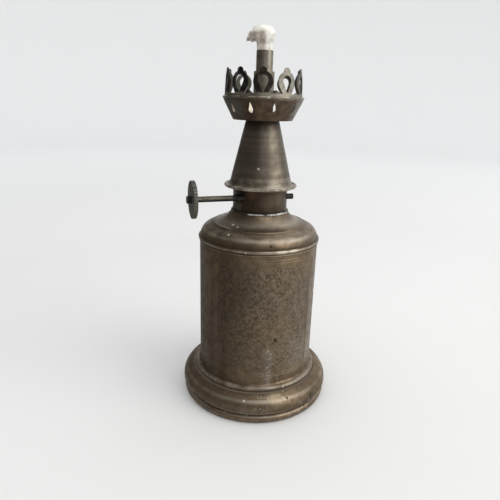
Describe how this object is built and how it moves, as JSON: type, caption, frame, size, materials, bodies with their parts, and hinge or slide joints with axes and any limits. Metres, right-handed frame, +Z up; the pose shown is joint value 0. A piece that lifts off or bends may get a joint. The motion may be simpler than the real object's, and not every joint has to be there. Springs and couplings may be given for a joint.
{
  "type": "kerosene lamp",
  "caption": "Small brass hand lamp for kerosene: felt-filled reservoir, screw-in burner, geared wick raiser and a lift-off cone with a crown gallery for a glass globe.",
  "frame": {"origin": "centre of the foot, on the surface that the lamp stands on", "axes": "+Z up along the lamp's axis, the spindle lies along X with its thumb wheel at -X, and the gear is on the -Y side"},
  "size_m": [0.079, 0.079, 0.1863],
  "materials": {
    "brass": "matt brown patina",
    "dark_brass": "dark brown patina",
    "black_steel": "blackened",
    "solder": "dull grey white",
    "leather": "oiled",
    "felt": "soaked felt",
    "cotton": "loose cotton fibres"
  },
  "bodies": {
    "reservoir": {"foot_shell": "brass", "foot_wire": "dark_brass", "base_plate": "dark_brass", "body_wall": "brass", "seam_bead": "brass", "shoulder_dome": "brass", "neck_ring": "dark_brass", "neck_solder": "solder", "felt_filling": "felt", "filling_grille": "dark_brass"},
    "gasket": {"gasket": "leather"},
    "burner": {"burner_collar": "dark_brass", "burner_top": "dark_brass", "burner_spigot": "dark_brass", "guide_tube": "brass", "spindle_gland": "black_steel"},
    "wick_raiser": {"spindle": "brass", "spindle_ring": "dark_brass", "thumb_wheel": "dark_brass", "wheel_rivet": "black_steel"},
    "wick_carrier": {"wick_tube": "brass", "wick_rack": "dark_brass", "wick": "cotton"},
    "cone_and_gallery": {"cone": "brass", "socket_spring": "dark_brass", "gallery_cup": "brass", "gallery_crown": "dark_brass"}
  },
  "joints": [
    {"name": "burner_turn", "type": "hinge", "parent": "gasket", "child": "burner", "pos_m": [0, 0, 0.1016], "axis": [0, 0, 1], "range_deg": [0, 1080]},
    {"name": "gasket_rise", "type": "slide", "parent": "reservoir", "child": "gasket", "axis": [0, 0, 1], "range_m": [0, 0.0045]},
    {"name": "spindle_turn", "type": "hinge", "parent": "burner", "child": "wick_raiser", "pos_m": [0, -0.0064, 0.1082], "axis": [1, 0, 0], "range_deg": [-286.4, 107.4]},
    {"name": "wick_raise", "type": "slide", "parent": "burner", "child": "wick_carrier", "axis": [0, 0, 1], "range_m": [-0.008, 0.003]},
    {"name": "cone_lift", "type": "slide", "parent": "burner", "child": "cone_and_gallery", "axis": [0, 0, 1], "range_m": [0, 0.08]}
  ],
  "couplings": [
    {"joint": "gasket_rise", "follows": "burner_turn", "m_per_rad": 0.00023873},
    {"joint": "wick_raise", "follows": "spindle_turn", "m_per_rad": 0.0016}
  ]
}
